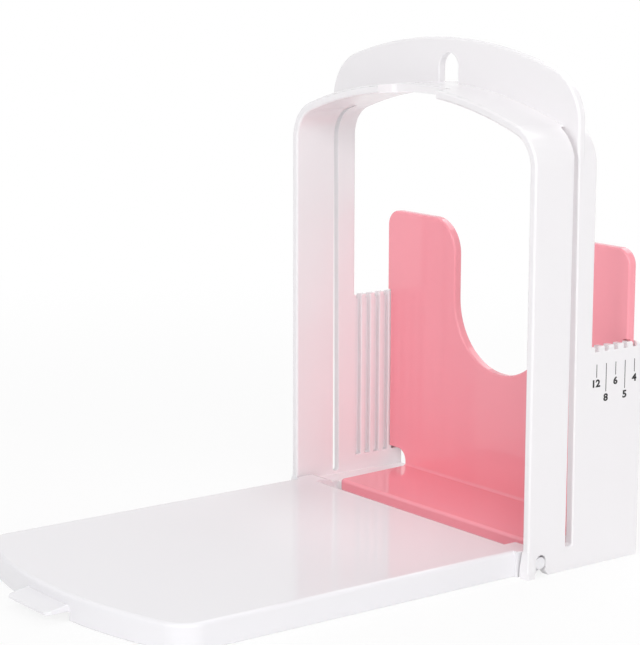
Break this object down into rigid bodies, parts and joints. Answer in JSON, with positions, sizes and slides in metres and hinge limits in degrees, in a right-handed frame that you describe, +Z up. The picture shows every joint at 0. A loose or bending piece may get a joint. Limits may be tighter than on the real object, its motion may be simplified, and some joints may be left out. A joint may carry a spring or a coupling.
{
  "type": "bread slicer guide",
  "caption": "Countertop bread slicing guide: an arched frame with knife slits, a fold-down loaf board and a lift-out upright stop that sets the slice thickness.",
  "frame": {"origin": "on the table, under the middle of the whole footprint with the board laid open", "axes": "+X across the frame, towards the wall that carries the slice counts; +Y from the board towards the guide; +Z up"},
  "size_m": [0.1508, 0.2298, 0.198],
  "materials": {
    "frame_white": "glossy injection-moulded white",
    "board_white": "glossy injection-moulded white",
    "guide_pink": "glossy injection-moulded salmon pink"
  },
  "bodies": {
    "frame": {"arch_frame": "frame_white"},
    "board": {"folding_board": "board_white"},
    "guide": {"bread_guide": "guide_pink"}
  },
  "joints": [
    {"name": "board_fold", "type": "hinge", "parent": "frame", "child": "board", "pos_m": [0, 0.0639, 0.005], "axis": [-1, 0, 0], "range_deg": [0, 90]},
    {"name": "guide_lift", "type": "slide", "parent": "frame", "child": "guide", "axis": [0, 0, 1], "range_m": [0, 0.075]}
  ]
}
